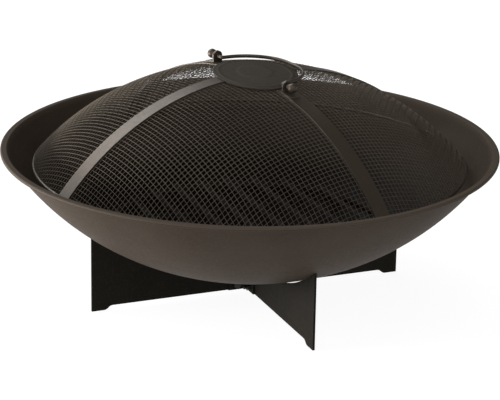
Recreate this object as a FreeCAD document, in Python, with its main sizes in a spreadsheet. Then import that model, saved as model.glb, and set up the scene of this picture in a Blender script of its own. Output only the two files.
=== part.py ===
import FreeCAD, Part
import os
import Sketcher

# Fire pit: a steel bowl that sits in a cross of two upright plates, with a lift-off domed
# spark screen, its folding bail handle, and a round log grate inside the bowl.
# Millimetres, +Z up. The origin is on the ground under the middle of the bowl, and the two
# base plates lie along X and Y.

# Driving dimensions: alias, value, what it is.
SIZES = [
    ("RimRadius", 381.4, "bowl, outside of the rolled rim"),
    ("RimHeight", 240, "top of the rim above the ground"),
    ("RimRoll", 2.75, "radius of the rim's rolled nose"),
    ("WallRadius", 370.4, "outside of the wall where it meets the rim"),
    ("BowlArc", 425.8, "radius of the bowl's outside profile"),
    ("BowlFlat", 18, "radius of the flat bottom, where the profile arc starts"),
    ("BowlSheet", 2, "bowl sheet thickness"),
    ("BowlGround", 48, "underside of the bowl above the ground"),
    ("PlateReach", 257, "base plate, centre to vertical end"),
    ("PlateThick", 3.5, "base plate thickness"),
    ("PlateLift", 6.5, "bottom edge of a base plate above the ground"),
    ("PlateFoot", 19, "length of the flat under each foot"),
    ("PlateStep", 15, "length of the S-curve from foot to bottom edge"),
    ("PlateEndGap", 0.45, "bowl to base plate at its outer end"),
    ("PlateMidGap", 2, "bowl to base plate in the middle"),
    ("LapClear", 0.15, "play on each side of the cross-lap slots"),
    ("BracketLeg", 32, "corner bracket, length of each leg"),
    ("BracketStrip", 16, "corner bracket, height of the strip"),
    ("BracketThick", 3, "corner bracket thickness"),
    ("BoltReach", 20, "bolt axis from the middle of the cross"),
    ("BoltRadius", 3, "M6 bolt"),
    ("BoltClear", 0.3, "radial clearance of the bolt holes"),
    ("HexRadius", 5.77, "corner radius of a 10 mm hexagon"),
    ("HeadHeight", 4, "bolt head"),
    ("NutHeight", 5, "nut"),
    ("BoltEnd", 5, "thread that stands out of the nut"),
    ("GrateRadius", 216.6, "log grate, centreline of the ring"),
    ("GrateRod", 4, "radius of the grate's rods"),
    ("GrateHeight", 104.4, "centreline of the ring above the ground"),
    ("BarPitch", 44, "spacing of the grate's bars"),
    ("CrossBarOffset", 90, "cross bars from the middle"),
    ("ScreenTurn", 13, "angle of the right strap from +X"),
    ("DomeTop", 354, "outside of the straps on the axis, above the ground"),
    ("DomeArc", 402, "radius of the straps' outside profile"),
    ("DomeFlat", 30, "radius where the dome profile starts to fall"),
    ("DomeRadius", 334, "radius where the profile passes the hoop"),
    ("StrapStart", 28, "inner end of a strap"),
    ("StrapWidth", 25.4, "strap width"),
    ("StrapThick", 1.6, "strap thickness"),
    ("StrapFoot", 15.1, "straight end of a strap beyond the hoop"),
    ("HoopRod", 2.5, "radius of the hoop's rod"),
    ("MeshGap", 0.5, "strap to the middle sheet of the wire mesh"),
    ("MeshThick", 0.8, "sheet that stands for the wire mesh"),
    ("MeshEnd", 326.5, "edge of the mesh, just above the hoop"),
    ("CapTurn", -6, "angle of the top plate's short side from +X"),
    ("CapShift", 6.5, "top plate, off the axis along its short side"),
    ("CapLong", 85, "top plate, half length"),
    ("CapShort", 63.5, "top plate, half width"),
    ("CapThick", 1.5, "top plate thickness"),
    ("CapGap", 0.15, "top plate above the straps"),
    ("HandleTurn", 10.5, "angle of the folded handle from +X"),
    ("PivotHeight", 358.2, "handle pivot above the ground"),
    ("LugStart", 95.5, "inner face of a handle lug, from the axis"),
    ("LugThick", 3.5, "lug thickness"),
    ("LugWidth", 16, "lug width"),
    ("LugFootEnd", 119, "outer end of the lug's foot"),
    ("LugFootThick", 2.5, "lug foot thickness"),
    ("HandleRod", 2.75, "radius of the handle rod"),
    ("HandleClear", 0.06, "radial play of the rod in its lug"),
    ("HandleRise", 73, "pivot axis to the flat top of the bail"),
    ("HandleArc", 72, "radius of the bail's two corners"),
    ("HandleHalf", 83, "bail leg to the middle of the handle"),
    ("HandleBend", 5, "bend radius at each end of the bail"),
    ("HandleEnd", 113, "end of the rod, inside the ball"),
    ("BallRadius", 7.3, "ball knob"),
    ("BallCentre", 112.2, "ball centre from the axis"),
    ("NeckRadius", 4.2, "neck of the ball knob"),
    ("NeckStart", 100.8, "inner face of the neck"),
    ("WasherRadius", 6.5, "washer between lug and knob"),
    ("WasherThick", 1.2, "washer thickness"),
    ("WasherGap", 0.3, "lug to washer"),
    ("ThreadClear", 0.05, "radial gap in a threaded or pressed joint"),
]
BAR_COUNT = 9
SLOT_OPEN_UP, SLOT_OPEN_DOWN = 1, -1
UP = FreeCAD.Vector(0, 0, 1)
ORIGIN = FreeCAD.Vector(0, 0, 0)

doc = FreeCAD.newDocument("fire_pit")
sheet = doc.addObject("Spreadsheet::Sheet", "Sizes")
nodes = []


class Dim:
    """A size as a number and as the spreadsheet expression that gives it."""

    def __init__(self, text, value):
        self.text = text
        self.value = float(value)

    def __add__(self, other):
        other = dim(other)
        return Dim(f"({self.text} + {other.text})", self.value + other.value)

    def __sub__(self, other):
        other = dim(other)
        return Dim(f"({self.text} - {other.text})", self.value - other.value)

    def __mul__(self, other):
        other = dim(other)
        return Dim(f"({self.text} * {other.text})", self.value * other.value)

    def __truediv__(self, other):
        other = dim(other)
        return Dim(f"({self.text} / {other.text})", self.value / other.value)

    def __neg__(self):
        return Dim(f"(0 - {self.text})", -self.value)

    def root(self):
        return Dim(f"sqrt({self.text})", self.value ** 0.5)


def dim(size):
    return size if isinstance(size, Dim) else Dim(f"({size})", size)


class Table:
    """The sheet's sizes by name."""


size = Table()
for row, (alias, value, note) in enumerate(SIZES, start=1):
    sheet.set(f"A{row}", alias)
    sheet.set(f"B{row}", str(value))
    sheet.set(f"C{row}", note)
    sheet.setAlias(f"B{row}", alias)
    setattr(size, alias, Dim(f"Sizes.{alias}", value))
doc.recompute()


def bind(thing, **values):
    """Bind properties of an object to sizes; dots in a property's path are written __."""
    for name, value in values.items():
        thing.setExpression(name.replace("__", "."), dim(value).text)
    return thing


def keep(thing, name):
    """Name a finished sub-part and put it on the list of files to write."""
    thing.Label = name
    nodes.append(thing)
    return thing


# ---- sketches --------------------------------------------------------------------------

def sketch_on(body, role):
    plane = next(o for o in body.Origin.OriginFeatures if o.Role == role)
    sketch = body.newObject("Sketcher::SketchObject", "Sketch")
    sketch.AttachmentSupport = [(plane, "")]
    sketch.MapMode = "FlatFace"
    return sketch


def name_constraint(sketch, constraint, name, value):
    index = sketch.addConstraint(constraint)
    sketch.renameConstraint(index, name)
    sketch.setExpression(f"Constraints.{name}", value.text)


def pin_along(sketch, geometry, end, name, direction, value):
    """Hold one point of a sketch at this distance from the origin along X or Y."""
    if value.value == 0:
        other_axis = -2 if direction == "X" else -1
        rule = Sketcher.Constraint("PointOnObject", geometry, end, other_axis)
        sketch.addConstraint(rule)
    else:
        rule = Sketcher.Constraint(f"Distance{direction}", -1, 1, geometry, end, value.value)
        name_constraint(sketch, rule, f"{direction.lower()}{name}", value)


def pin(sketch, geometry, end, name, x, y):
    pin_along(sketch, geometry, end, name, "X", x)
    pin_along(sketch, geometry, end, name, "Y", y)


def arc_between(start, end, centre, counterclockwise):
    """Part arc from start to end about centre; a sketch arc always runs counterclockwise."""
    first, last = (start, end) if counterclockwise else (end, start)
    circle = Part.Circle(centre, UP, (start - centre).Length)
    return Part.ArcOfCircle(circle, circle.parameter(first), circle.parameter(last))


def outline(sketch, corners, arcs, closed=True):
    """Draw an outline through corners, each an x, y pair of sizes.

    arcs maps a corner's index to the centre of the arc that starts there and to whether it
    turns counterclockwise. Every other stretch is straight.
    """
    corners = [(dim(x), dim(y)) for x, y in corners]
    points = [FreeCAD.Vector(x.value, y.value, 0) for x, y in corners]
    last = len(corners) if closed else len(corners) - 1
    stretches = []
    for i in range(last):
        j = (i + 1) % len(corners)
        if i in arcs:
            (cx, cy), counterclockwise = arcs[i]
            cx, cy = dim(cx), dim(cy)
            centre = FreeCAD.Vector(cx.value, cy.value, 0)
            piece = arc_between(points[i], points[j], centre, counterclockwise)
            index = sketch.addGeometry(piece, False)
            ends = (1, 2) if counterclockwise else (2, 1)
            stretches.append((index, *ends))
            chord = points[j] - points[i]
            direction, place = ("X", cx) if abs(chord.y) > abs(chord.x) else ("Y", cy)
            pin_along(sketch, index, 3, f"Centre{i}", direction, place)
        else:
            index = sketch.addGeometry(Part.LineSegment(points[i], points[j]), False)
            stretches.append((index, 1, 2))
    for i, (index, start, _) in enumerate(stretches):
        pin(sketch, index, start, f"Corner{i}", *corners[i])
        if closed or i:
            before, _, before_end = stretches[i - 1]
            joined = Sketcher.Constraint("Coincident", before, before_end, index, start)
            sketch.addConstraint(joined)
    if not closed:
        index, _, end = stretches[-1]
        pin(sketch, index, end, f"Corner{last}", *corners[-1])


def ring(sketch, name, x, y, radius):
    """Draw a circle at x, y."""
    x, y, radius = dim(x), dim(y), dim(radius)
    centre = FreeCAD.Vector(x.value, y.value, 0)
    index = sketch.addGeometry(Part.Circle(centre, UP, radius.value), False)
    size_of = Sketcher.Constraint("Radius", index, radius.value)
    name_constraint(sketch, size_of, f"r{name}", radius)
    pin(sketch, index, 3, name, x, y)


def revolve(body, sketch):
    turned = body.newObject("PartDesign::Revolution", "Revolution")
    turned.Profile = sketch
    turned.ReferenceAxis = (sketch, ["V_Axis"])
    turned.Angle = 360
    return turned


def pad_both_ways(body, sketch, thickness):
    pad = body.newObject("PartDesign::Pad", "Pad")
    pad.Profile = sketch
    pad.Midplane = True
    return bind(pad, Length=thickness)


def cut_through(body, sketch):
    """Pocket right through the body, both ways; it has to take material away."""
    doc.recompute()
    before = body.Shape.Volume
    pocket = body.newObject("PartDesign::Pocket", "Pocket")
    pocket.Profile = sketch
    pocket.Midplane = True
    pocket.Type = "ThroughAll"
    doc.recompute()
    if body.Shape.Volume > before - 1:
        raise RuntimeError(f"{body.Name}: the pocket cuts nothing")


# ---- the bowl --------------------------------------------------------------------------

def fire_bowl():
    """Spun sheet bowl with a rolled rim: one profile, turned about the axis."""
    arc_height = size.BowlGround + size.BowlArc
    inner_arc = size.BowlArc - size.BowlSheet
    wall_top = size.RimHeight - size.RimRoll * 2
    inner_top = size.RimHeight - size.RimRoll / 2
    rise = arc_height - inner_top
    inner_wall = size.BowlFlat + (inner_arc * inner_arc - rise * rise).root()
    outer_drop = size.WallRadius - size.BowlFlat
    outer_wall_height = arc_height - (size.BowlArc * size.BowlArc - outer_drop * outer_drop).root()
    nose = size.RimRadius - size.RimRoll
    corners = [
        (0, size.BowlGround),
        (size.BowlFlat, size.BowlGround),
        (size.WallRadius, outer_wall_height),
        (nose, wall_top),
        (nose, size.RimHeight),
        (inner_wall + size.RimRoll / 2, size.RimHeight),
        (inner_wall, inner_top),
        (size.BowlFlat, size.BowlGround + size.BowlSheet),
        (0, size.BowlGround + size.BowlSheet),
    ]
    arcs = {
        1: ((size.BowlFlat, arc_height), True),
        3: ((nose, size.RimHeight - size.RimRoll), True),
        6: ((size.BowlFlat, arc_height), False),
    }
    body = doc.addObject("PartDesign::Body", "FireBowl")
    sketch = sketch_on(body, "XZ_Plane")
    outline(sketch, corners, arcs)
    revolve(body, sketch)
    keep(body, "fire_bowl")


# ---- the cross base --------------------------------------------------------------------

def base_plate(name, turn, slot):
    """One upright plate of the cross: top edge follows the bowl, feet at both ends."""
    arc_height = size.BowlGround + size.BowlArc
    run = size.PlateReach - size.BowlFlat
    bowl_at_end = arc_height - (size.BowlArc * size.BowlArc - run * run).root()
    end_top = bowl_at_end - size.PlateEndGap
    mid_top = size.BowlGround - size.PlateMidGap
    sag = end_top - mid_top
    edge_arc = (run * run + sag * sag) / (sag * 2)
    edge_centre = mid_top + edge_arc
    foot_in = size.PlateReach - size.PlateFoot
    step_in = foot_in - size.PlateStep
    step_mid = foot_in - size.PlateStep / 2
    half_step = size.PlateStep / 2
    half_lift = size.PlateLift / 2
    bend = (half_step * half_step + half_lift * half_lift) / size.PlateLift
    slot_side = size.PlateThick / 2 + size.LapClear
    slot_end = (mid_top + size.PlateLift) / 2 - size.LapClear * slot

    def right_half():
        """Feet and end of one half, from the bottom middle round to the top middle."""
        return [
            (step_in, size.PlateLift),
            (step_mid, half_lift),
            (foot_in, dim(0)),
            (size.PlateReach, dim(0)),
            (size.PlateReach, end_top),
            (size.BowlFlat, mid_top),
        ]

    slot_mouth = mid_top if slot == SLOT_OPEN_UP else size.PlateLift
    slot_corners = [
        (slot_side, slot_mouth),
        (slot_side, slot_end),
        (-slot_side, slot_end),
        (-slot_side, slot_mouth),
    ]
    right = right_half()
    left = [(-x, y) for x, y in reversed(right)]
    if slot == SLOT_OPEN_UP:
        corners = right + slot_corners + left
        left_start = len(right) + len(slot_corners)
    else:
        corners = right + left + slot_corners[::-1]
        left_start = len(right)
    arcs = {
        0: ((step_in, size.PlateLift - bend), False),
        1: ((foot_in, bend), True),
        4: ((size.BowlFlat, edge_centre), False),
        left_start: ((-size.BowlFlat, edge_centre), False),
        left_start + 3: ((-foot_in, bend), True),
        left_start + 4: ((-step_in, size.PlateLift - bend), False),
    }
    body = doc.addObject("PartDesign::Body", "BasePlate")
    body.Placement = FreeCAD.Placement(ORIGIN, FreeCAD.Rotation(UP, turn))
    sketch = sketch_on(body, "XZ_Plane")
    outline(sketch, corners, arcs)
    hole = size.BoltRadius + size.BoltClear
    bolt_height = size.PlateLift + size.BracketStrip / 2
    ring(sketch, "BoltRight", size.BoltReach, bolt_height, hole)
    ring(sketch, "BoltLeft", -size.BoltReach, bolt_height, hole)
    pad_both_ways(body, sketch, size.PlateThick)
    keep(body, name)


def cylinder(name, radius, height, rotation, x=0, y=0, z=0):
    """A cylinder whose own Z is turned by rotation and which starts at x, y, z."""
    made = doc.addObject("Part::Cylinder", name)
    made.Placement = FreeCAD.Placement(ORIGIN, rotation)
    return bind(
        made, Radius=radius, Height=height,
        Placement__Base__x=x, Placement__Base__y=y, Placement__Base__z=z,
    )


def hexagon(name, height, rotation, x, y, z):
    made = doc.addObject("Part::Prism", name)
    made.Polygon = 6
    made.Placement = FreeCAD.Placement(ORIGIN, rotation)
    return bind(
        made, Circumradius=size.HexRadius, Height=height,
        Placement__Base__x=x, Placement__Base__y=y, Placement__Base__z=z,
    )


def box(name, length, width, height, x, y, z):
    made = doc.addObject("Part::Box", name)
    return bind(
        made, Length=length, Width=width, Height=height,
        Placement__Base__x=x, Placement__Base__y=y, Placement__Base__z=z,
    )


def fuse(name, *pieces):
    made = doc.addObject("Part::MultiFuse", name)
    made.Shapes = list(pieces)
    return made


def cut(name, base, tool):
    made = doc.addObject("Part::Cut", name)
    made.Base = base
    made.Tool = tool
    return made


def group(name, pieces):
    """Separate solids that share one node."""
    made = doc.addObject("Part::Compound", "Group")
    made.Links = pieces
    return keep(made, name)


ALONG_X = FreeCAD.Rotation(FreeCAD.Vector(0, 1, 0), 90)
ALONG_Y = FreeCAD.Rotation(FreeCAD.Vector(1, 0, 0), -90)


def corner_bracket(name, turn):
    """Angle strip in one corner of the cross, with a hole in each leg."""
    face = size.PlateThick / 2
    leg_end = -face - size.BracketLeg
    outer = -face - size.BracketThick
    bottom = size.PlateLift
    bolt_height = bottom + size.BracketStrip / 2
    hole = size.BoltRadius + size.BoltClear
    leg_x = box("LegX", size.BracketLeg, size.BracketThick, size.BracketStrip,
                leg_end, outer, bottom)
    leg_y = box("LegY", size.BracketThick, size.BracketLeg, size.BracketStrip,
                outer, leg_end, bottom)
    reach = size.BracketThick * 3
    hole_x = cylinder("HoleX", hole, reach, ALONG_Y,
                      -size.BoltReach, outer - size.BracketThick, bolt_height)
    hole_y = cylinder("HoleY", hole, reach, ALONG_X,
                      outer - size.BracketThick, -size.BoltReach, bolt_height)
    bracket = cut("Bracket", fuse("Legs", leg_x, leg_y), fuse("Holes", hole_x, hole_y))
    bracket.Placement = FreeCAD.Placement(ORIGIN, FreeCAD.Rotation(UP, turn))
    keep(bracket, name)


def bracket_fasteners():
    """Four bolts through bracket and plate, each with its nut on the far side.

    The heads are inside the bracket on the long-way plate, and behind the cross-way plate.
    """
    face = size.PlateThick / 2
    seat = face + size.BracketThick
    height = size.PlateLift + size.BracketStrip / 2
    grip = size.BracketThick + size.PlateThick
    shank = grip + size.NutHeight + size.BoltEnd
    bolts, nuts = [], []
    for half_turn in (0, 180):
        for rotation, head_start, shank_start, nut_start in (
            (ALONG_Y, -seat - size.HeadHeight, -seat, face),
            (ALONG_X, face, face - shank, -seat - size.NutHeight),
        ):
            def at(depth):
                """A point at this depth along the bolt's axis."""
                if rotation is ALONG_Y:
                    return -size.BoltReach, depth, height
                return depth, -size.BoltReach, height

            head = hexagon("Head", size.HeadHeight, rotation, *at(head_start))
            rod = cylinder("Shank", size.BoltRadius, shank, rotation, *at(shank_start))
            bolt = fuse("Bolt", head, rod)
            blank = hexagon("NutBlank", size.NutHeight, rotation, *at(nut_start))
            bore = cylinder("NutBore", size.BoltRadius + size.ThreadClear,
                            size.NutHeight, rotation, *at(nut_start))
            nut = cut("Nut", blank, bore)
            for piece, pieces in ((bolt, bolts), (nut, nuts)):
                piece.Placement = FreeCAD.Placement(ORIGIN, FreeCAD.Rotation(UP, half_turn))
                pieces.append(piece)
    group("bracket_bolts", bolts)
    group("bracket_nuts", nuts)


# ---- the log grate ---------------------------------------------------------------------

def log_grate():
    """Ring, bars laid across it, and cross bars under them; its ring rests on the bowl."""
    hoop = doc.addObject("Part::Torus", "GrateRing")
    bind(hoop, Radius1=size.GrateRadius, Radius2=size.GrateRod,
         Placement__Base__z=size.GrateHeight)
    keep(hoop, "grate_ring")
    bar_height = size.GrateHeight + size.GrateRod * 2 + size.ThreadClear
    bars = []
    for i in range(BAR_COUNT):
        x = size.BarPitch * (i - (BAR_COUNT - 1) / 2)
        half = (size.GrateRadius * size.GrateRadius - x * x).root()
        bars.append(cylinder("Bar", size.GrateRod, half * 2, ALONG_Y, x, -half, bar_height))
    group("grate_bars", bars)
    inside = size.GrateRadius - size.GrateRod
    side = size.CrossBarOffset + size.GrateRod
    half = (inside * inside - side * side).root() - size.ThreadClear
    cross_bars = [
        cylinder("CrossBar", size.GrateRod, half * 2, ALONG_X, -half, y, size.GrateHeight)
        for y in (-size.CrossBarOffset, size.CrossBarOffset)
    ]
    group("grate_cross_bars", cross_bars)


# ---- the spark screen ------------------------------------------------------------------

def dome_point(radius, offset):
    """The point of the dome's profile under radius, moved in by offset along its normal."""
    run = radius - size.DomeFlat
    centre_height = size.DomeTop - size.DomeArc
    rise = (size.DomeArc * size.DomeArc - run * run).root()
    share = (size.DomeArc - offset) / size.DomeArc
    return size.DomeFlat + run * share, centre_height + rise * share


def dome_band(name, end, outside, inside):
    """Solid of revolution between two offsets inside the dome's profile, out to end."""
    centre = (size.DomeFlat, size.DomeTop - size.DomeArc)
    corners = [
        (0, size.DomeTop - outside),
        (0, size.DomeTop - inside),
        (size.DomeFlat, size.DomeTop - inside),
        dome_point(end, inside),
        dome_point(end, outside),
        (size.DomeFlat, size.DomeTop - outside),
    ]
    body = doc.addObject("PartDesign::Body", name)
    sketch = sketch_on(body, "XZ_Plane")
    outline(sketch, corners, {2: (centre, False), 4: (centre, True)})
    revolve(body, sketch)
    return body


def screen_hoop():
    radius, height = dome_point(
        size.DomeRadius, size.StrapThick + size.HoopRod + size.ThreadClear
    )
    hoop = doc.addObject("Part::Torus", "ScreenHoop")
    bind(hoop, Radius1=radius, Radius2=size.HoopRod, Placement__Base__z=height)
    keep(hoop, "screen_hoop")


def screen_strap(name, quarter):
    """Flat strip over the dome, with a straight end that stands on the bowl's wall."""
    centre = (size.DomeFlat, size.DomeTop - size.DomeArc)
    fall = (size.DomeRadius - size.DomeFlat) / size.DomeArc
    ahead = (dim(1) - fall * fall).root()
    outer_x, outer_y = dome_point(size.DomeRadius, 0)
    inner_x, inner_y = dome_point(size.DomeRadius, size.StrapThick)
    foot_x, foot_y = size.StrapFoot * ahead, size.StrapFoot * fall
    corners = [
        (size.StrapStart, size.DomeTop - size.StrapThick),
        (size.DomeFlat, size.DomeTop - size.StrapThick),
        (inner_x, inner_y),
        (inner_x + foot_x, inner_y - foot_y),
        (outer_x + foot_x, outer_y - foot_y),
        (outer_x, outer_y),
        (size.DomeFlat, size.DomeTop),
        (size.StrapStart, size.DomeTop),
    ]
    body = doc.addObject("PartDesign::Body", "Strap")
    body.Placement = FreeCAD.Placement(ORIGIN, FreeCAD.Rotation(UP, 90))
    bind(body, Placement__Rotation__Angle=size.ScreenTurn + 90 * quarter)
    sketch = sketch_on(body, "XZ_Plane")
    outline(sketch, corners, {1: (centre, False), 5: (centre, True)})
    pad_both_ways(body, sketch, size.StrapWidth)
    keep(body, name)


def top_plate():
    """Domed oval plate over the straps' inner ends."""
    skin = dome_band("PlateSkin", size.CapLong + 10, -size.CapThick - size.CapGap,
                     -size.CapGap)
    oval = doc.addObject("Part::Ellipse", "Oval")
    bind(oval, MajorRadius=size.CapLong, MinorRadius=size.CapShort,
         Placement__Base__y=size.CapShift, Placement__Base__z=size.DomeTop - size.CapLong)
    prism = doc.addObject("Part::Extrusion", "OvalPrism")
    prism.Base = oval
    prism.DirMode = "Custom"
    prism.Dir = UP
    prism.Solid = True
    bind(prism, LengthFwd=size.CapLong * 2)
    plate = doc.addObject("Part::Common", "TopPlate")
    plate.Base = skin
    plate.Tool = prism
    plate.Placement = FreeCAD.Placement(ORIGIN, FreeCAD.Rotation(UP, 90))
    bind(plate, Placement__Rotation__Angle=size.CapTurn + 270)
    keep(plate, "top_plate")


def handle_lug(name, quarter):
    """Angle lug on a strap: a foot along the strap and a round-topped tab with the hole."""
    foot_middle = (size.LugStart + size.LugFootEnd) / 2
    run = foot_middle - size.DomeFlat
    _, strap_height = dome_point(foot_middle, 0)
    slope = run / (size.DomeArc * size.DomeArc - run * run).root()

    def strap_line(radius):
        return strap_height + (foot_middle - radius) * slope + size.ThreadClear * 2

    tab_face = size.LugStart + size.LugThick
    half_width = size.LugWidth / 2
    top = size.PivotHeight + half_width
    corners = [
        (size.LugStart, strap_line(size.LugStart)),
        (size.LugFootEnd, strap_line(size.LugFootEnd)),
        (size.LugFootEnd, strap_line(size.LugFootEnd) + size.LugFootThick),
        (tab_face, strap_line(tab_face) + size.LugFootThick),
        (tab_face, top),
        (size.LugStart, top),
    ]
    body = doc.addObject("PartDesign::Body", "Lug")
    body.Placement = FreeCAD.Placement(ORIGIN, FreeCAD.Rotation(UP, 90))
    bind(body, Placement__Rotation__Angle=size.HandleTurn + 90 * quarter)
    sketch = sketch_on(body, "XZ_Plane")
    outline(sketch, corners, {})
    pad = pad_both_ways(body, sketch, size.LugWidth)
    doc.recompute()
    top_corners = [
        f"Edge{i}" for i, edge in enumerate(pad.Shape.Edges, start=1)
        if abs(edge.Length - size.LugThick.value) < 0.01
        and all(abs(v.Z - top.value) < 0.01 for v in edge.Vertexes)
    ]
    rounding = body.newObject("PartDesign::Fillet", "Rounding")
    rounding.Base = (pad, top_corners)
    bind(rounding, Radius=half_width - size.ThreadClear)
    bore = sketch_on(body, "YZ_Plane")
    ring(bore, "Bore", 0, size.PivotHeight, size.HandleRod + size.HandleClear)
    cut_through(body, bore)
    keep(body, name)


# ---- the handle ------------------------------------------------------------------------

def handle_bail():
    """Bent rod: a D with a flat top, whose ends turn outward and run through the lugs."""
    leg = size.HandleHalf
    turned = leg + size.HandleBend
    knee = size.HandleRise - size.HandleArc
    flat = leg - size.HandleArc
    right = [
        (flat, size.HandleRise),
        (leg, knee),
        (leg, size.HandleBend),
        (turned, dim(0)),
        (size.HandleEnd, dim(0)),
    ]
    corners = [(-x, y) for x, y in reversed(right)] + right
    arcs = {
        1: ((-turned, size.HandleBend), True),
        3: ((-flat, knee), False),
        5: ((flat, knee), False),
        7: ((turned, size.HandleBend), True),
    }
    body = doc.addObject("PartDesign::Body", "Bail")
    body.Placement = FreeCAD.Placement(ORIGIN, FreeCAD.Rotation(UP, 90))
    bind(body, Placement__Rotation__Angle=size.HandleTurn + 270,
         Placement__Base__z=size.PivotHeight)
    path = sketch_on(body, "XY_Plane")
    outline(path, corners, arcs, closed=False)
    section = sketch_on(body, "YZ_Plane")
    bind(section, AttachmentOffset__Base__z=-size.HandleEnd)
    ring(section, "Rod", 0, 0, size.HandleRod)
    doc.recompute()
    pipe = body.newObject("PartDesign::AdditivePipe", "Rod")
    pipe.Profile = section
    pipe.Spine = (path, [f"Edge{i}" for i in range(1, len(corners))])
    keep(body, "handle_bail")


def handle_end(name, quarter):
    """Ball knob with a neck, on the end of the rod."""
    ball = doc.addObject("Part::Sphere", "Ball")
    bind(ball, Radius=size.BallRadius, Placement__Base__x=size.BallCentre,
         Placement__Base__z=size.PivotHeight)
    neck = cylinder("Neck", size.NeckRadius, size.BallCentre - size.NeckStart, ALONG_X,
                    size.NeckStart, 0, size.PivotHeight)
    bore = cylinder("KnobBore", size.HandleRod + size.ThreadClear,
                    size.HandleEnd + size.ThreadClear - size.NeckStart, ALONG_X,
                    size.NeckStart, 0, size.PivotHeight)
    knob = cut("Knob", fuse("KnobBlank", ball, neck), bore)
    knob.Placement = FreeCAD.Placement(ORIGIN, FreeCAD.Rotation(UP, 90))
    bind(knob, Placement__Rotation__Angle=size.HandleTurn + 90 * quarter)
    keep(knob, name)


def handle_washers():
    pieces = []
    start = size.LugStart + size.LugThick + size.WasherGap
    for quarter in (3, 1):
        disc = cylinder("Disc", size.WasherRadius, size.WasherThick, ALONG_X,
                        start, 0, size.PivotHeight)
        bore = cylinder("WasherBore", size.HandleRod + size.ThreadClear, size.WasherThick,
                        ALONG_X, start, 0, size.PivotHeight)
        washer = cut("Washer", disc, bore)
        washer.Placement = FreeCAD.Placement(ORIGIN, FreeCAD.Rotation(UP, 90))
        bind(washer, Placement__Rotation__Angle=size.HandleTurn + 90 * quarter)
        pieces.append(washer)
    group("handle_washers", pieces)


# ---- build, check and write ------------------------------------------------------------

def build():
    fire_bowl()
    base_plate("base_plate_long_way", 0, SLOT_OPEN_UP)
    base_plate("base_plate_cross_way", 90, SLOT_OPEN_DOWN)
    corner_bracket("corner_bracket_front", 0)
    corner_bracket("corner_bracket_back", 180)
    bracket_fasteners()
    log_grate()
    mesh_top = size.StrapThick + size.MeshGap
    mesh = dome_band("Mesh", size.MeshEnd, mesh_top, mesh_top + size.MeshThick)
    keep(mesh, "screen_mesh")
    screen_hoop()
    for quarter, side in enumerate(("right", "back", "left", "front")):
        screen_strap(f"strap_{side}", quarter)
    top_plate()
    handle_lug("handle_lug_front", 3)
    handle_lug("handle_lug_back", 1)
    handle_bail()
    handle_end("ball_knob_front", 3)
    handle_end("ball_knob_back", 1)
    handle_washers()


def check():
    """Stop if any object failed, or any sub-part has no valid solid."""
    doc.recompute()
    for thing in doc.Objects:
        if "Invalid" in thing.State or "Error" in thing.State:
            raise RuntimeError(f"{thing.Name} ({thing.Label}) failed: {thing.State}")
    for node in nodes:
        if node.Shape.isNull() or not node.Shape.isValid() or not node.Shape.Solids:
            raise RuntimeError(f"{node.Label} has no valid shape")


def write():
    os.makedirs("parts", exist_ok=True)
    for node in nodes:
        node.Shape.exportStep(os.path.join("parts", f"{node.Label}.step"))
        box_ = node.Shape.BoundBox
        print(f"{node.Label}: {len(node.Shape.Solids)} solid(s), {node.Shape.Volume:.0f} mm3, "
              f"z {box_.ZMin:.1f} to {box_.ZMax:.1f}")


build()
check()
write()
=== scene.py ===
import math

import bpy
import numpy as np
from mathutils import Matrix, Vector


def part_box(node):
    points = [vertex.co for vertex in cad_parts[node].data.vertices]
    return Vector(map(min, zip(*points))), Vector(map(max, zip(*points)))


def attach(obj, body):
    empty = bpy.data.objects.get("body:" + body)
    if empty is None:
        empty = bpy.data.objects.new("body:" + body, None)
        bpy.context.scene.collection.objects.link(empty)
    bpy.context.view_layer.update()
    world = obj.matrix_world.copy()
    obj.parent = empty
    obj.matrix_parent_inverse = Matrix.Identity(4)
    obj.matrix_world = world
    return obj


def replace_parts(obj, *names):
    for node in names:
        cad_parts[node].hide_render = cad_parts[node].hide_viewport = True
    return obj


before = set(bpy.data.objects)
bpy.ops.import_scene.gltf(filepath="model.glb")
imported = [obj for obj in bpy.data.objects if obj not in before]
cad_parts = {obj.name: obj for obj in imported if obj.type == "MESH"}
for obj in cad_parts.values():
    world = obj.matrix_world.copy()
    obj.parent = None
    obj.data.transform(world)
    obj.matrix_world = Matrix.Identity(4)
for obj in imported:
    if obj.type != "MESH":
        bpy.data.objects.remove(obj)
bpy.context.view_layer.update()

# The spark screen's dome, in metres, as the CAD gives it: the outside of the straps is flat out
# to DOME_FLAT and then follows an arc of DOME_ARC whose centre is DOME_FLAT from the axis.
DOME_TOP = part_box("strap_front")[1][2]
DOME_FLAT = 0.030
DOME_ARC = 0.402
STRAP_THICK = 0.0016
SCREEN_TURN = math.radians(13)
HOOP_LOW, HOOP_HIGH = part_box("screen_hoop")
HOOP_HEIGHT = (HOOP_LOW[2] + HOOP_HIGH[2]) / 2
HOOP_ROD = (HOOP_HIGH[2] - HOOP_LOW[2]) / 2
HOOP_RADIUS = HOOP_HIGH[0] - HOOP_ROD

# Woven wire of the screen. The weave's middle surface lies MESH_DEPTH under the straps' outside.
MESH_PITCH = 0.007
WIRE_RADIUS = 0.00045
WIRE_SIDES = 6
MESH_DEPTH = STRAP_THICK + 2 * WIRE_RADIUS

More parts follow.
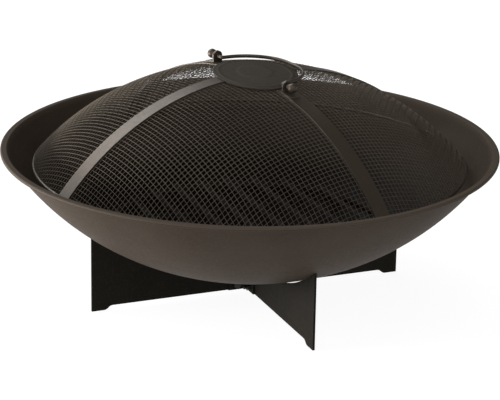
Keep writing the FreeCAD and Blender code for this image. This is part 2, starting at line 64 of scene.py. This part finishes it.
# Top plate: an oval with half axes PLATE_LONG and PLATE_SHORT, PLATE_GAP above the straps and
# PLATE_SHIFT off the axis. BEAD and BOSS are its pressed forms: height, then place and softness of
# the crest or edge as shares of the way from the middle to the rim. EDGE_START is where its
# rounded rim starts.
PLATE_TURN = math.radians(-6)
PLATE_GAP = 0.00015
PLATE_THICK = 0.0015
PLATE_LONG = 0.085
PLATE_SHORT = 0.0635
PLATE_SHIFT = 0.0065
PLATE_RINGS = 56
PLATE_TURNS = 160
BEAD_HEIGHT, BEAD_PLACE, BEAD_SOFTNESS = 0.0006, 0.86, 0.035
BOSS_HEIGHT, BOSS_PLACE, BOSS_SOFTNESS = 0.0007, 0.42, 0.018
EDGE_START = 0.985

# The photograph's camera stands 22.6 degrees to the left of the front.
VIEW_AZIMUTH = math.radians(-22.6)


def dome_frame(x, y, depth):
    """Points and outward normals of the surface that lies depth under the dome's outside, over (x, y)."""
    arc = DOME_ARC - depth
    radius = np.hypot(x, y)
    lean = np.arcsin(np.clip((radius - DOME_FLAT) / arc, 0, 0.999))
    away = np.maximum(radius, 1e-9)
    normal = np.stack([np.sin(lean) * x / away, np.sin(lean) * y / away, np.cos(lean)], axis=-1)
    z = DOME_TOP - DOME_ARC + arc * np.cos(lean)
    return np.stack([x, y, z], axis=-1), normal


def plan_offset(length, arc):
    """Distance from the axis, in plan, of a point this far along the dome's meridian."""
    over = np.maximum(np.abs(length) - DOME_FLAT, 0)
    return np.sign(length) * (np.minimum(np.abs(length), DOME_FLAT) + arc * np.sin(over / arc))


def mesh_object(name, points, faces, smooth=True):
    """A mesh object made from arrays of points and faces."""
    data = bpy.data.meshes.new(name)
    data.from_pydata(np.asarray(points).tolist(), [], [list(face) for face in faces])
    data.validate()
    data.update()
    if smooth:
        data.shade_smooth()
    piece = bpy.data.objects.new(name, data)
    bpy.context.scene.collection.objects.link(piece)
    return piece


def add_piece(name, points, faces, body, material):
    """A finished piece: on its body and its material."""
    piece = mesh_object(name, points, faces)
    piece.data.materials.append(material)
    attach(piece, body)
    return piece


# ---------------------------------------------------------------- materials

def node(tree, kind, **inputs):
    """Adds a shader node and sets its inputs by name."""
    made = tree.nodes.new(kind)
    for key, value in inputs.items():
        made.inputs[key.replace("_", " ")].default_value = value
    return made


def noise(tree, coords, scale, detail, roughness):
    """The value of a noise texture on these coordinates."""
    made = node(tree, "ShaderNodeTexNoise", Scale=scale, Detail=detail, Roughness=roughness)
    tree.links.new(coords, made.inputs["Vector"])
    return made.outputs["Fac"]


def spread(tree, value, low, high, start=0.3, end=0.7):
    """Maps a value from start..end to low..high, and holds it there outside."""
    made = node(tree, "ShaderNodeMapRange")
    for key, number in (("From Min", start), ("From Max", end), ("To Min", low), ("To Max", high)):
        made.inputs[key].default_value = number
    tree.links.new(value, made.inputs["Value"])
    return made.outputs["Result"]


def blend_colour(tree, factor, first, second):
    """Blends from the first colour to the second. Each is a tuple or another node's output."""
    made = tree.nodes.new("ShaderNodeMix")
    made.data_type = "RGBA"
    tree.links.new(factor, made.inputs["Factor"])
    for socket, colour in ((made.inputs["A"], first), (made.inputs["B"], second)):
        if isinstance(colour, tuple):
            socket.default_value = (*colour, 1)
        else:
            tree.links.new(colour, socket)
    return made.outputs["Result"]


def painted_steel(name, dark, light, speck, roughness, grain, bump, specular, metallic=0.0, tint=(1, 1, 1)):
    """Baked matte paint: slow clouding between two tones, a fine speckle and an orange-peel surface."""
    material = bpy.data.materials.new(name)
    material.use_nodes = True
    tree = material.node_tree
    shader = tree.nodes["Principled BSDF"]
    coords = tree.nodes.new("ShaderNodeTexCoord").outputs["Object"]
    clouds = spread(tree, noise(tree, coords, scale=9, detail=4, roughness=0.6), 0, 1)
    tone = blend_colour(tree, clouds, dark, light)
    specks = noise(tree, coords, scale=grain * 0.45, detail=3, roughness=0.7)
    speckle = spread(tree, specks, 0, 1, start=0.55, end=0.75)
    tree.links.new(blend_colour(tree, speckle, tone, speck), shader.inputs["Base Color"])
    patches = noise(tree, coords, scale=grain * 0.2, detail=4, roughness=0.65)
    gloss = spread(tree, patches, roughness - 0.07, roughness + 0.07)
    tree.links.new(gloss, shader.inputs["Roughness"])
    peel = node(tree, "ShaderNodeBump", Strength=bump, Distance=0.0003)
    tree.links.new(noise(tree, coords, scale=grain, detail=3, roughness=0.6), peel.inputs["Height"])
    tree.links.new(peel.outputs["Normal"], shader.inputs["Normal"])
    shader.inputs["Metallic"].default_value = metallic
    shader.inputs["Specular IOR Level"].default_value = specular
    shader.inputs["Specular Tint"].default_value = (*tint, 1)
    return material


def tone_by_radius(material, colour, start, end):
    """Blends the paint of the faces that look up towards a colour, from start to end off the axis."""
    tree = material.node_tree
    shader = tree.nodes["Principled BSDF"]
    paint = shader.inputs["Base Color"].links[0].from_socket
    coords = tree.nodes.new("ShaderNodeTexCoord")
    flat = tree.nodes.new("ShaderNodeVectorMath")
    flat.operation = "MULTIPLY"
    flat.inputs[1].default_value = (1, 1, 0)
    tree.links.new(coords.outputs["Object"], flat.inputs[0])
    radius = tree.nodes.new("ShaderNodeVectorMath")
    radius.operation = "LENGTH"
    tree.links.new(flat.outputs["Vector"], radius.inputs[0])
    near = spread(tree, radius.outputs["Value"], 0, 1, start, end)
    facing = tree.nodes.new("ShaderNodeSeparateXYZ")
    tree.links.new(coords.outputs["Normal"], facing.inputs["Vector"])
    upward = spread(tree, facing.outputs["Z"], 0, 1, 0.0, 0.1)
    both = tree.nodes.new("ShaderNodeMath")
    both.operation = "MULTIPLY"
    tree.links.new(near, both.inputs[0])
    tree.links.new(upward, both.inputs[1])
    tree.links.new(blend_colour(tree, both.outputs["Value"], paint, colour), shader.inputs["Base Color"])


def dress(material, *names):
    """Puts a material on CAD nodes."""
    for name in names:
        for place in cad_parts[name].material_slots:
            place.material = material


BOWL_PAINT = painted_steel("bowl_paint", dark=(0.039, 0.0290, 0.0212), light=(0.048, 0.0360, 0.0268),
                           speck=(0.068, 0.053, 0.041), roughness=0.60, grain=900, bump=0.25, specular=0.04)
BASE_PAINT = painted_steel("base_paint", dark=(0.0100, 0.0087, 0.0068), light=(0.0145, 0.0127, 0.0100),
                           speck=(0.027, 0.022, 0.017), roughness=0.68, grain=900, bump=0.25, specular=0.03)
SCREEN_PAINT = painted_steel("screen_paint", dark=(0.033, 0.0250, 0.0180), light=(0.042, 0.0320, 0.0235),
                             speck=(0.060, 0.048, 0.037), roughness=0.42, grain=1100, bump=0.3,
                             specular=0.45, tint=(1, 0.86, 0.72))
PLATE_PAINT = painted_steel("plate_paint", dark=(0.025, 0.0187, 0.0125), light=(0.032, 0.0242, 0.0163),
                            speck=(0.046, 0.036, 0.026), roughness=0.60, grain=1100, bump=0.3,
                            specular=0.15)
WIRE_PAINT = painted_steel("mesh_wire", dark=(0.068, 0.0550, 0.0410), light=(0.095, 0.0770, 0.0580),
                           speck=(0.120, 0.100, 0.078), roughness=0.50, grain=1600, bump=0.2, specular=0.1)
GRATE_STEEL = painted_steel("grate_steel", dark=(0.008, 0.007, 0.006), light=(0.014, 0.012, 0.010),
                            speck=(0.030, 0.021, 0.015), roughness=0.70, grain=700, bump=0.5, specular=0.05)
FASTENER_STEEL = painted_steel("fastener_steel", dark=(0.020, 0.0185, 0.017), light=(0.035, 0.033, 0.030),
                               speck=(0.06, 0.055, 0.05), roughness=0.40, grain=1500, bump=0.2,
                               specular=0.5, metallic=0.7)

# Painted shade: the middle of the bowl, on faces that look up, darkens towards near black where shade falls
# inside the bowl.
tone_by_radius(BOWL_PAINT, (0.004, 0.0034, 0.0028), start=0.345, end=0.260)
# Painted highlight: a lighter band on the rim's upward faces, standing in for the sheen of the light along
# the rim.
tone_by_radius(BOWL_PAINT, (0.068, 0.0540, 0.0420), start=0.366, end=0.372)

dress(BOWL_PAINT, "fire_bowl")
dress(BASE_PAINT, "base_plate_long_way", "base_plate_cross_way", "corner_bracket_front",
      "corner_bracket_back")
dress(SCREEN_PAINT, "screen_hoop", "strap_right", "strap_back", "strap_left", "strap_front",
      "handle_lug_front", "handle_lug_back", "handle_bail", "ball_knob_front", "ball_knob_back")
dress(GRATE_STEEL, "grate_ring", "grate_bars", "grate_cross_bars")
dress(FASTENER_STEEL, "bracket_bolts", "bracket_nuts", "handle_washers")


# ---------------------------------------------------------------- woven screen

def tube_mesh(points, normals, radius, sides):
    """Points and faces of a round wire along a line of points, capped at both ends."""
    along = np.gradient(points, axis=0)
    along /= np.linalg.norm(along, axis=1, keepdims=True)
    side = np.cross(along, normals)
    side /= np.linalg.norm(side, axis=1, keepdims=True)
    up = np.cross(side, along)
    turn = np.arange(sides) * 2 * math.pi / sides
    upward = np.cos(turn)[None, :, None] * up[:, None]
    sideways = np.sin(turn)[None, :, None] * side[:, None]
    ring = radius * (upward + sideways)
    verts = (points[:, None] + ring).reshape(-1, 3)
    count = len(points)
    first = np.arange(count - 1)[:, None] * sides
    here = np.arange(sides)[None, :]
    after = (here + 1) % sides
    faces = np.stack([first + here, first + after, first + sides + after, first + sides + here], axis=-1)
    caps = [list(range(sides - 1, -1, -1)), list(range((count - 1) * sides, count * sides))]
    return verts, faces.reshape(-1, 4).tolist() + caps


def woven_wires(name, along, across, start_side):
    """One set of the screen's wires, all parallel in plan, each going over and under the other set."""
    arc = DOME_ARC - MESH_DEPTH
    hoop_lean = math.atan2(HOOP_RADIUS - DOME_FLAT, HOOP_HEIGHT - (DOME_TOP - DOME_ARC))
    edge_radius = DOME_FLAT + arc * math.sin(hoop_lean)
    reach = DOME_FLAT + arc * hoop_lean
    count = int(reach / MESH_PITCH)
    steps = np.arange(-count, count + 1)
    places = plan_offset(steps * MESH_PITCH, arc)
    halfway = plan_offset((steps[:-1] + 0.5) * MESH_PITCH, arc)
    verts, faces, total = [], [], 0
    for step, place in zip(steps, places):
        if abs(place) > edge_radius - MESH_PITCH / 3:
            continue
        end = math.sqrt(edge_radius ** 2 - place ** 2)
        sign = np.where((steps + step) % 2 == 0, 1.0, -1.0) * start_side
        spots = np.concatenate([places, halfway])
        lift = np.concatenate([sign * WIRE_RADIUS, np.zeros(len(halfway))])
        order = np.argsort(spots)
        spots, lift = spots[order], lift[order]
        inside = np.abs(spots) < end - MESH_PITCH / 4
        spots = np.concatenate([[-end], spots[inside], [end]])
        lift = np.concatenate([[0.0], lift[inside], [0.0]])
        plan = spots[:, None] * along[None, :] + place * across[None, :]
        base, normal = dome_frame(plan[:, 0], plan[:, 1], MESH_DEPTH)
        wire_verts, wire_faces = tube_mesh(base + normal * lift[:, None], normal, WIRE_RADIUS, WIRE_SIDES)
        verts.append(wire_verts)
        faces.extend([[corner + total for corner in face] for face in wire_faces])
        total += len(wire_verts)
    return add_piece(name, np.concatenate(verts), faces, "screen", WIRE_PAINT)


right_way = np.array([math.cos(SCREEN_TURN), math.sin(SCREEN_TURN)])
back_way = np.array([-math.sin(SCREEN_TURN), math.cos(SCREEN_TURN)])
wires_right = woven_wires("screen_wires_right_to_left", right_way, back_way, 1)
wires_back = woven_wires("screen_wires_front_to_back", back_way, right_way, -1)
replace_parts(wires_right, "screen_mesh")
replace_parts(wires_back, "screen_mesh")


# ---------------------------------------------------------------- top plate

def pressed_plate():
    """The oval plate on top of the dome, with a rounded edge, a pressed bead near its edge and a
    plain raised oval in its middle."""
    rings, turns = PLATE_RINGS, PLATE_TURNS
    share = np.linspace(0, 1, rings + 1)[1:]
    turn = np.arange(turns) * 2 * math.pi / turns
    bead = BEAD_HEIGHT * np.exp(-((share - BEAD_PLACE) / BEAD_SOFTNESS) ** 2)
    boss = BOSS_HEIGHT / (1 + np.exp((share - BOSS_PLACE) / BOSS_SOFTNESS))
    press = bead + boss
    edge = np.clip((share - EDGE_START) / (1 - EDGE_START), 0, 1)
    across = share[:, None] * np.cos(turn)[None, :] * PLATE_SHORT
    along = share[:, None] * np.sin(turn)[None, :] * PLATE_LONG
    short_way = np.array([math.cos(PLATE_TURN), math.sin(PLATE_TURN)])
    long_way = np.array([-math.sin(PLATE_TURN), math.cos(PLATE_TURN)])
    plan = (across + PLATE_SHIFT)[..., None] * short_way + along[..., None] * long_way
    base, normal = dome_frame(plan[..., 0], plan[..., 1], -PLATE_GAP)
    half = PLATE_THICK / 2
    swell = half * np.sqrt(1 - edge ** 2)
    middle = base + normal * half
    centre_base, centre_normal = dome_frame(*(PLATE_SHIFT * short_way[:, None]), -PLATE_GAP)
    centre = centre_base[0] + centre_normal[0] * (half + press[0])
    top = middle + normal * (press + swell)[:, None, None]
    bottom = middle + normal * (press - swell)[:, None, None]
    poles = np.array([centre + centre_normal[0] * half, centre - centre_normal[0] * half])
    verts = np.concatenate([poles, top.reshape(-1, 3), bottom[:-1].reshape(-1, 3)])
    faces = []
    top_start, bottom_start = 2, 2 + rings * turns

    def spot(layer, ring, place):
        """Index of a point of the top (0) or bottom (1) layer. The two share the outermost ring."""
        if layer and ring < rings - 1:
            return bottom_start + ring * turns + place % turns
        return top_start + ring * turns + place % turns

    for place in range(turns):
        faces.append([0, spot(0, 0, place), spot(0, 0, place + 1)])
        faces.append([1, spot(1, 0, place + 1), spot(1, 0, place)])
        for ring in range(rings - 1):
            faces.append([spot(0, ring, place), spot(0, ring + 1, place),
                          spot(0, ring + 1, place + 1), spot(0, ring, place + 1)])
            faces.append([spot(1, ring, place + 1), spot(1, ring + 1, place + 1),
                          spot(1, ring + 1, place), spot(1, ring, place)])
    return add_piece("top_plate_pressed", verts, faces, "screen", PLATE_PAINT)


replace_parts(pressed_plate(), "top_plate")


# ---------------------------------------------------------------- floor, light and camera

def floor():
    """A plain pale floor that also glows, so that it is near white."""
    material = bpy.data.materials.new("pale_floor")
    material.use_nodes = True
    shader = material.node_tree.nodes["Principled BSDF"]
    shader.inputs["Base Color"].default_value = (0.16, 0.16, 0.16, 1)
    shader.inputs["Roughness"].default_value = 0.9
    shader.inputs["Specular IOR Level"].default_value = 0.1
    shader.inputs["Emission Color"].default_value = (1, 1, 1, 1)
    shader.inputs["Emission Strength"].default_value = 0.93
    reach = 14
    corners = [(-reach, -reach, 0), (reach, -reach, 0), (reach, reach, 0), (-reach, reach, 0)]
    plane = mesh_object("floor", corners, [(0, 1, 2, 3)], smooth=False)
    plane.data.materials.append(material)


def from_camera_side(azimuth, elevation):
    """A direction given by its azimuth from the camera's, to the right, and its elevation."""
    turn = VIEW_AZIMUTH + math.radians(azimuth)
    rise = math.radians(elevation)
    return Vector((math.sin(turn) * math.cos(rise), -math.cos(turn) * math.cos(rise), math.sin(rise)))


def sun(name, azimuth, elevation, strength, width):
    """A soft sun, as wide as this many degrees."""
    data = bpy.data.lights.new(name, "SUN")
    data.energy = strength
    data.angle = math.radians(width)
    lamp = bpy.data.objects.new(name, data)
    lamp.rotation_euler = from_camera_side(azimuth, elevation).to_track_quat("Z", "Y").to_euler()
    bpy.context.scene.collection.objects.link(lamp)


def low_panel(name, azimuth, distance, height, width, tall, power):
    """An upright soft panel that stands beside the object and faces it."""
    data = bpy.data.lights.new(name, "AREA")
    data.shape = "RECTANGLE"
    data.size, data.size_y = width, tall
    data.energy = power
    lamp = bpy.data.objects.new(name, data)
    lamp.location = from_camera_side(azimuth, 0) * distance + Vector((0, 0, height))
    lamp.rotation_euler = from_camera_side(azimuth, 0).to_track_quat("Z", "Y").to_euler()
    bpy.context.scene.collection.objects.link(lamp)


def studio():
    """A dim white world, five soft suns and a panel at the left."""
    world = bpy.data.worlds.new("studio")
    world.use_nodes = True
    back = world.node_tree.nodes["Background"]
    back.inputs["Color"].default_value = (1, 1, 1, 1)
    back.inputs["Strength"].default_value = 0.08
    bpy.context.scene.world = world
    sun("key_left", azimuth=-80, elevation=18, strength=1.2, width=22)
    sun("soft_top", azimuth=-5, elevation=50, strength=1.1, width=50)
    sun("fill_right", azimuth=60, elevation=30, strength=0.35, width=40)
    sun("glow_behind", azimuth=-152, elevation=38, strength=0.95, width=34)
    sun("glow_left", azimuth=-126, elevation=35, strength=0.9, width=34)
    low_panel("panel_left", azimuth=-88, distance=1.6, height=0.12, width=1.4, tall=0.20, power=42)
    bpy.context.scene.view_settings.view_transform = "Standard"


def camera():
    """The photograph's view: a long lens, 3.5 m away, with the horizon 1 degree low at the right.
    Elevation is the camera's place seen from the rim's centre; pitch, yaw and roll are how it looks."""
    rim_centre = Vector((0, 0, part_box("fire_bowl")[1][2]))
    distance, elevation = 3.4974, 17.59
    pitch, yaw, roll = 18.98, -0.0251, math.radians(1.02)
    data = bpy.data.cameras.new("photo_camera")
    data.lens = 164.16
    data.sensor_width = 36
    eye = bpy.data.objects.new("photo_camera", data)
    place = Matrix.Translation(rim_centre + from_camera_side(0, elevation) * distance)
    look = from_camera_side(yaw, pitch).to_track_quat("Z", "Y").to_matrix()
    eye.matrix_world = place @ (look @ Matrix.Rotation(roll, 3, "Z")).to_4x4()
    bpy.context.scene.collection.objects.link(eye)
    bpy.context.scene.camera = eye


floor()
studio()
camera()
